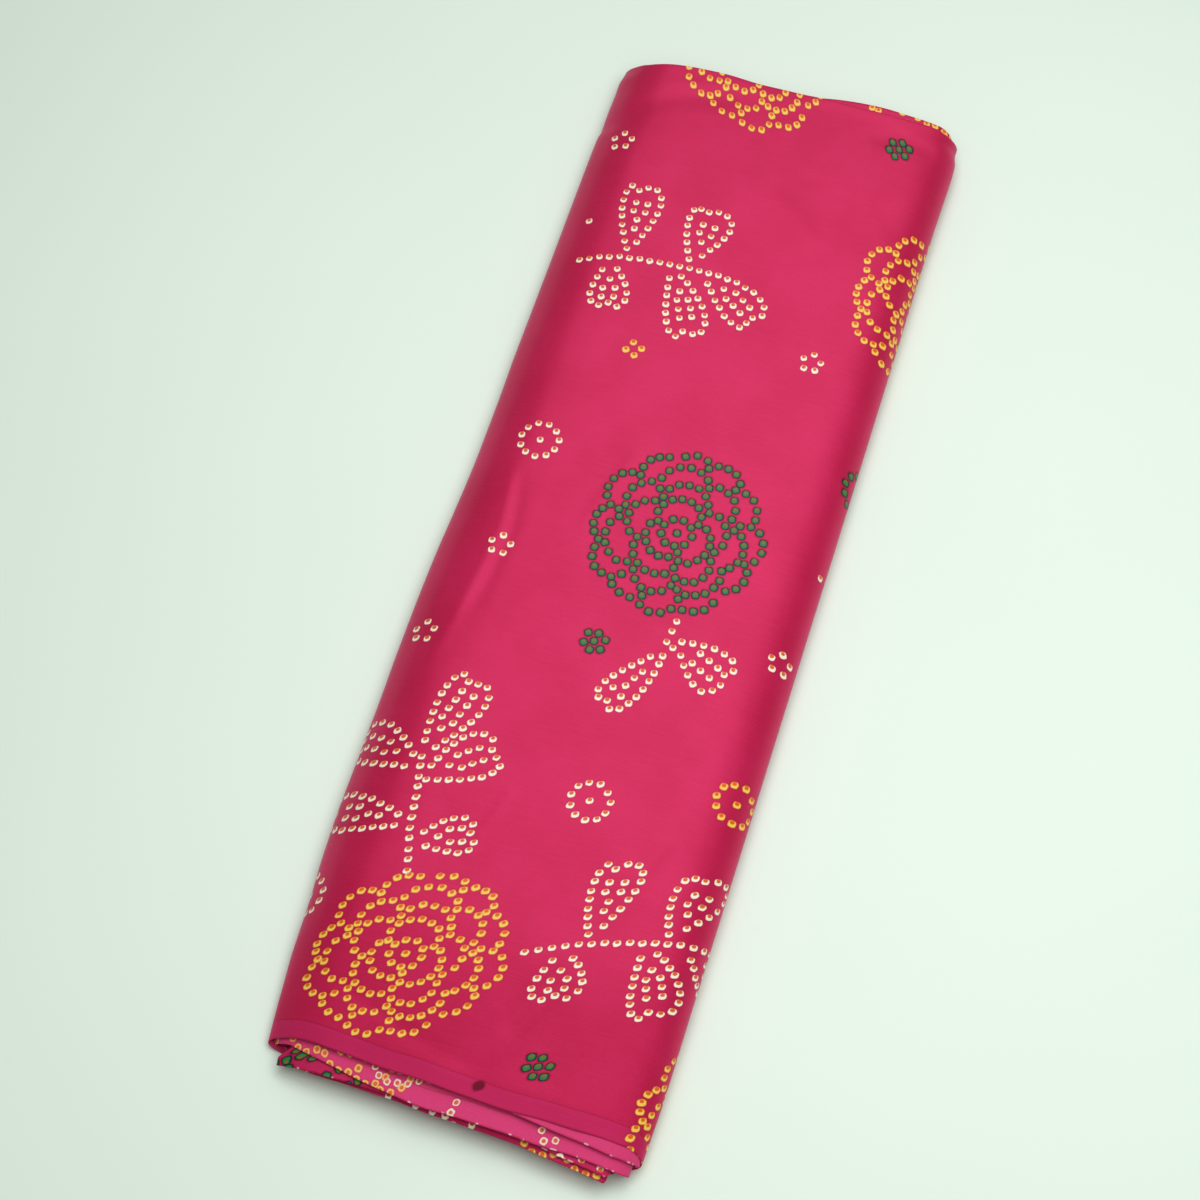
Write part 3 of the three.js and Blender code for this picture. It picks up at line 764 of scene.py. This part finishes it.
# ---------------------------------------------------------------------------------------------------------------------
# Node helpers
class Nodes:
    def __init__(self, tree):
        self.tree = tree

    def add(self, kind, **settings):
        node = self.tree.nodes.new(kind)
        inputs = settings.pop("inputs", {})
        for k, v in settings.items():
            setattr(node, k, v)
        for k, v in inputs.items():
            self.put(node.inputs[k], v)
        return node

    def put(self, socket, value):
        if isinstance(value, bpy.types.NodeSocket):
            self.tree.links.new(value, socket)
        else:
            socket.default_value = value

    def math(self, operation, a, b=None, c=None, clamp=False):
        node = self.add("ShaderNodeMath", operation=operation, use_clamp=clamp)
        for socket, value in zip(node.inputs, (a, b, c)):
            if value is not None:
                self.put(socket, value)
        return node.outputs[0]

    def vector(self, operation, a, b=None, scale=None):
        node = self.add("ShaderNodeVectorMath", operation=operation)
        self.put(node.inputs[0], a)
        if b is not None:
            self.put(node.inputs[1], b)
        if scale is not None:
            self.put(node.inputs["Scale"], scale)
        return node.outputs["Value"] if operation in ("DOT_PRODUCT", "LENGTH", "DISTANCE") else node.outputs["Vector"]

    def ease(self, value, a, b, low=0.0, high=1.0):
        node = self.add("ShaderNodeMapRange", interpolation_type="SMOOTHSTEP")
        for k, v in (("Value", value), ("From Min", a), ("From Max", b), ("To Min", low), ("To Max", high)):
            self.put(node.inputs[k], v)
        return node.outputs["Result"]

    def mix(self, factor, a, b, blend="MIX", clamp=False):
        node = self.add("ShaderNodeMix", data_type="RGBA", blend_type=blend, clamp_result=clamp)
        self.put(node.inputs[0], factor)
        self.put(node.inputs[6], a)
        self.put(node.inputs[7], b)
        return node.outputs[2]

    def steps(self, value, colours):
        """One colour for each whole number of the value."""
        node = self.add("ShaderNodeValToRGB")
        ramp = node.color_ramp
        ramp.interpolation = "CONSTANT"
        n = len(colours)
        while len(ramp.elements) < n:
            ramp.elements.new(0.5)
        for k, colour in enumerate(colours):
            ramp.elements[k].position = k / n
            ramp.elements[k].color = (*colour, 1)
        self.put(node.inputs[0], self.math("DIVIDE", self.math("ADD", value, 0.001), float(n)))
        return node.outputs["Color"]

    def noise(self, vector, scale=1.0, detail=2.0, rough=0.5, lacunarity=2.0):
        node = self.add("ShaderNodeTexNoise", noise_dimensions="3D")
        for k, v in (("Vector", vector), ("Scale", scale), ("Detail", detail), ("Roughness", rough), ("Lacunarity", lacunarity)):
            self.put(node.inputs[k], v)
        return node.outputs[0]


def linear(r, g, b):
    def one(c):
        c /= 255
        return c / 12.92 if c <= 0.04045 else ((c + 0.055) / 1.055) ** 2.4

    return one(r), one(g), one(b)


# ---------------------------------------------------------------------------------------------------------------------
# One printed dot: how much of it covers this place, and its colour there.
dot_tree = bpy.data.node_groups.new("printed_dot", "ShaderNodeTree")
for name, kind in (("Flat", "Vector"), ("Dot", "Vector"), ("Grain", "Vector"), ("Ragged", "Float"), ("Wrong", "Float")):
    dot_tree.interface.new_socket(name=name, in_out="INPUT", socket_type="NodeSocket" + kind)
for name, kind in (("Color", "Color"), ("Mask", "Float"), ("Halo", "Float")):
    dot_tree.interface.new_socket(name=name, in_out="OUTPUT", socket_type="NodeSocket" + kind)
n = Nodes(dot_tree)
given, out = n.add("NodeGroupInput"), n.add("NodeGroupOutput")
off = n.add("ShaderNodeSeparateXYZ", inputs={0: n.vector("SUBTRACT", given.outputs["Flat"], given.outputs["Dot"])})
code = n.add("ShaderNodeSeparateXYZ", inputs={0: given.outputs["Dot"]}).outputs["Z"]
grain = n.add("ShaderNodeSeparateXYZ", inputs={0: given.outputs["Grain"]})
ink = n.math("FLOOR", code)
luck = n.math("MULTIPLY", n.math("SUBTRACT", n.math("FRACT", code), 0.5), 4.0)  # from -1 to 1
x = n.math("MULTIPLY_ADD", off.outputs["X"], grain.outputs["X"], n.math("MULTIPLY", off.outputs["Y"], grain.outputs["Y"]))
y = n.math("MULTIPLY_ADD", off.outputs["X"], grain.outputs["Y"], n.math("MULTIPLY", off.outputs["Y"], grain.outputs["Z"]))
angle = n.math("MULTIPLY_ADD", luck, 0.42, 0.18)
c, s = n.math("COSINE", angle), n.math("SINE", angle)
rx = n.math("ABSOLUTE", n.math("MULTIPLY_ADD", x, c, n.math("MULTIPLY", y, s)))
ry = n.math("ABSOLUTE", n.math("SUBTRACT", n.math("MULTIPLY", y, c), n.math("MULTIPLY", x, s)))
around_it = n.math("POWER", n.math("ADD", n.math("POWER", rx, 2.7), n.math("POWER", ry, 2.7)), 1 / 2.7)
size = n.math("MULTIPLY_ADD", ink, 0.22, n.math("MULTIPLY_ADD", n.math("SINE", n.math("MULTIPLY", luck, 9.0)), 0.07, 1.66))
r = n.math("ADD", n.math("DIVIDE", around_it, size), given.outputs["Ragged"])
mask = n.ease(r, 1.09, 0.91)
core_far = n.math("SQRT", n.math("ADD", n.math("POWER", n.math("ADD", x, n.math("MULTIPLY", n.math("SUBTRACT", 1.0, given.outputs["Wrong"]), 0.18)), 2.0),
                                 n.math("POWER", n.math("SUBTRACT", y, n.math("MULTIPLY", n.math("SUBTRACT", 1.0, given.outputs["Wrong"]), 0.68)), 2.0)))
core = n.ease(n.math("ADD", core_far, n.math("MULTIPLY_ADD", luck, 0.1, n.math("MULTIPLY", given.outputs["Ragged"], 1.5))), 1.18, 0.80)
inner = n.ease(r, 0.98, 0.74)
rim_colour = n.steps(ink, [linear(238, 214, 200), linear(222, 120, 40), linear(8, 36, 34), linear(120, 8, 34)])
body_colour = n.steps(ink, [linear(250, 244, 222), linear(246, 212, 98), linear(24, 132, 70), linear(120, 8, 34)])
core_colour = n.steps(ink, [linear(222, 112, 28), linear(230, 112, 18), linear(120, 118, 44), linear(120, 8, 34)])
green = n.math("GREATER_THAN", ink, 1.5)  # with a wider, dark rim
inner = n.math("MINIMUM", inner, n.math("ADD", n.math("SUBTRACT", 1.0, green), n.math("MULTIPLY", green, n.ease(r, 0.86, 0.56))))
colour = n.mix(core, n.mix(inner, rim_colour, body_colour), core_colour)
n.put(out.inputs["Color"], n.vector("SCALE", colour, scale=mask))
n.put(out.inputs["Mask"], mask)
n.put(out.inputs["Halo"], n.math("MULTIPLY", n.ease(r, 1.5, 1.0), n.math("MULTIPLY_ADD", n.math("GREATER_THAN", ink, 1.5), 0.5, 0.35)))

# ---------------------------------------------------------------------------------------------------------------------
# The satin
satin = bpy.data.materials.new("printed_satin")
satin.use_nodes = True
satin.node_tree.nodes.clear()
n = Nodes(satin.node_tree)


def read(name, what="Vector"):
    return n.add("ShaderNodeAttribute", attribute_name=name).outputs[what]


place, wrong_side, edge = read("flat"), read("wrong", "Fac"), read("edge", "Fac")
hv = n.add("ShaderNodeSeparateXYZ", inputs={0: place})
flat_h, flat_v = hv.outputs["X"], hv.outputs["Y"]


def stretched(along_h, along_v, off=0.0):
    return n.add("ShaderNodeCombineXYZ", inputs={0: n.math("MULTIPLY", flat_h, along_h), 1: n.math("MULTIPLY", flat_v, along_v), 2: off}).outputs[0]


yarn = n.noise(stretched(0.55, 5.2), detail=3.0, rough=0.6)  # the long floats of the satin
weft = n.noise(stretched(4.2, 0.30, 7.0), detail=2.0, rough=0.55)
slub = n.noise(stretched(0.06, 1.1, 13.0), detail=2.0, rough=0.5)
blotch = n.noise(stretched(0.035, 0.03, 21.0), detail=3.0, rough=0.5)
speck = n.noise(stretched(0.9, 0.9, 31.0), detail=2.0, rough=0.5)
ragged = n.math("MULTIPLY", n.math("SUBTRACT", speck, 0.5), 0.30)

cloth_colour = n.mix(n.ease(blotch, 0.32, 0.68), (*linear(206, 33, 84), 1), (*linear(213, 39, 92), 1))
cloth_colour = n.mix(n.math("MULTIPLY", n.ease(slub, 0.35, 0.75), 0.16), cloth_colour, (*linear(226, 60, 114), 1))
cloth_colour = n.mix(n.math("MULTIPLY", n.ease(yarn, 0.62, 0.30), 0.22), cloth_colour, (*linear(168, 18, 66), 1))
cloth_colour = n.mix(n.math("MULTIPLY", n.ease(weft, 0.62, 0.34), 0.12), cloth_colour, (*linear(176, 20, 70), 1))
# the wrong side is paler and duller
cloth_colour = n.mix(wrong_side, cloth_colour, n.mix(n.ease(yarn, 0.3, 0.7), (*linear(220, 66, 116), 1), (*linear(232, 84, 134), 1)))
# the selvedge: a slightly lighter band, closer set, with white ends of the filling yarn at the very edge, and a painted
# shadow darkening the last 0.7 mm of cloth
band = n.math("MULTIPLY", n.ease(edge, 8.8, 7.4), 0.32)
cloth_colour = n.mix(band, cloth_colour, (*linear(214, 58, 124), 1))
line = n.math("MULTIPLY", n.ease(n.math("ABSOLUTE", n.math("SUBTRACT", edge, 8.2)), 0.55, 0.1), 0.30)
cloth_colour = n.mix(line, cloth_colour, (*linear(140, 10, 56), 1))
# painted shadow: the cloth turns dark crimson within 0.7 mm of the selvedge, standing in for the shade along the
# cloth's edge
cloth_colour = n.mix(n.math("MULTIPLY", n.ease(edge, 0.7, 0.2), 0.35), cloth_colour, (*linear(150, 10, 50), 1))
tooth = n.noise(stretched(0.30, 0.12, 41.0), detail=1.0)
fleck = n.math("MULTIPLY", n.math("MULTIPLY", n.ease(edge, 0.8, 0.2), n.ease(tooth, 0.60, 0.66)), n.math("GREATER_THAN", flat_v, 300.0))
cloth_colour = n.mix(n.math("MULTIPLY", fleck, 0.8), cloth_colour, (*linear(236, 196, 205), 1))

total_colour, total_mask, halo = None, None, None
for k in range(4):
    one = n.add("ShaderNodeGroup", node_tree=dot_tree)
    for name, value in (("Flat", place), ("Dot", read("dot%d" % (k + 1))), ("Grain", read("grain")), ("Ragged", ragged), ("Wrong", wrong_side)):
        n.put(one.inputs[name], value)
    total_colour = one.outputs["Color"] if k == 0 else n.vector("ADD", total_colour, one.outputs["Color"])
    total_mask = one.outputs["Mask"] if k == 0 else n.math("ADD", total_mask, one.outputs["Mask"])
    halo = one.outputs["Halo"] if k == 0 else n.math("MAXIMUM", halo, one.outputs["Halo"])
dot_colour = n.vector("SCALE", total_colour, scale=n.math("DIVIDE", 1.0, n.math("MAXIMUM", total_mask, 0.001)))
# yarns show through the print a little, and the wrong side takes it paler
dot_colour = n.mix(n.math("MULTIPLY", n.ease(yarn, 0.66, 0.36), 0.12), dot_colour, (*linear(190, 60, 80), 1), blend="MULTIPLY")
dot_colour = n.mix(n.math("MULTIPLY", wrong_side, 0.18), dot_colour, (*linear(224, 120, 160), 1))
shaded = n.mix(n.math("MULTIPLY", halo, 0.55), cloth_colour, (*linear(140, 8, 44), 1))
final = n.mix(n.math("MINIMUM", total_mask, 1.0), shaded, dot_colour)

height = n.math("ADD", n.math("MULTIPLY", yarn, 0.55), n.math("ADD", n.math("MULTIPLY", weft, 0.35), n.math("MULTIPLY", slub, 0.5)))
bump = n.add("ShaderNodeBump", inputs={"Height": height, "Strength": 0.35, "Distance": 0.00012})
rough = n.math("ADD", n.math("MULTIPLY_ADD", n.math("SUBTRACT", yarn, 0.5), 0.16, 0.40),
               n.math("MULTIPLY_ADD", wrong_side, 0.18, n.math("MULTIPLY", n.math("MINIMUM", total_mask, 1.0), 0.06)))
metal = n.math("MULTIPLY", n.math("SUBTRACT", 1.0, n.math("MINIMUM", total_mask, 1.0)), n.math("MULTIPLY_ADD", wrong_side, -0.2, 0.26))  # the yarns' own coloured gloss
shader = n.add("ShaderNodeBsdfPrincipled", inputs={"Base Color": final, "Metallic": metal, "Roughness": rough, "Normal": bump.outputs[0]})
shader.inputs["Specular IOR Level"].default_value = 0.8
shader.inputs["Specular Tint"].default_value = (1.0, 0.6, 0.95, 1)
shader.inputs["Sheen Weight"].default_value = 0.08
shader.inputs["Sheen Roughness"].default_value = 0.45
shader.inputs["Sheen Tint"].default_value = (1.0, 0.72, 0.86, 1)
material_out = n.add("ShaderNodeOutputMaterial", inputs={"Surface": shader.outputs[0]})
mesh.materials.append(satin)

# ---------------------------------------------------------------------------------------------------------------------
# A plain pale floor
floor_mesh = bpy.data.meshes.new("floor")
bm = bmesh.new()
bmesh.ops.create_grid(bm, x_segments=8, y_segments=8, size=3.0)
bm.to_mesh(floor_mesh)
bm.free()
floor = bpy.data.objects.new("floor", floor_mesh)
bpy.context.scene.collection.objects.link(floor)
floor_material = bpy.data.materials.new("pale_floor")
floor_material.use_nodes = True
floor_material.node_tree.nodes.clear()
n = Nodes(floor_material.node_tree)
where = n.add("ShaderNodeTexCoord").outputs["Object"]
tone = n.noise(where, scale=3.0, detail=2.0)
floor_colour = n.mix(n.ease(tone, 0.3, 0.7), (*linear(230, 240, 231), 1), (*linear(232, 242, 233), 1))
floor_shader = n.add("ShaderNodeBsdfPrincipled", inputs={"Base Color": floor_colour})
floor_shader.inputs["Roughness"].default_value = 0.75
floor_shader.inputs["Specular IOR Level"].default_value = 0.2
n.add("ShaderNodeOutputMaterial", inputs={"Surface": floor_shader.outputs[0]})
floor_mesh.materials.append(floor_material)

# ---------------------------------------------------------------------------------------------------------------------
# Soft light from the far side, a little to the left, and a pale surround
world = bpy.data.worlds.new("surround")
bpy.context.scene.world = world
world.use_nodes = True
world.node_tree.nodes["Background"].inputs["Color"].default_value = (*linear(232, 248, 236), 1)
world.node_tree.nodes["Background"].inputs["Strength"].default_value = 0.25


def softbox(name, place, aim, size, power, colour=(1, 1, 1), glossy=True):
    data = bpy.data.lights.new(name, "AREA")
    data.shape = "RECTANGLE"
    data.size, data.size_y = size
    data.energy = power
    data.color = colour
    lamp = bpy.data.objects.new(name, data)
    bpy.context.scene.collection.objects.link(lamp)
    lamp.visible_glossy = glossy
    lamp.location = place
    lamp.rotation_mode = "QUATERNION"
    lamp.rotation_quaternion = (Vector(aim) - Vector(place)).to_track_quat("-Z", "Y")


softbox("key", (0.0, 0.58, 1.18), (0.03, 0.0, 0), (1.1, 1.1), 4.3)
softbox("overhead", (0.24, -0.10, 0.95), (0.16, -0.08, 0), (1.0, 1.0), 6.2, glossy=False)

bpy.context.scene.view_settings.view_transform = "Standard"
bpy.context.scene.view_settings.look = "Medium High Contrast"

# ---------------------------------------------------------------------------------------------------------------------
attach(cloth, "root")
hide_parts("folded_satin")
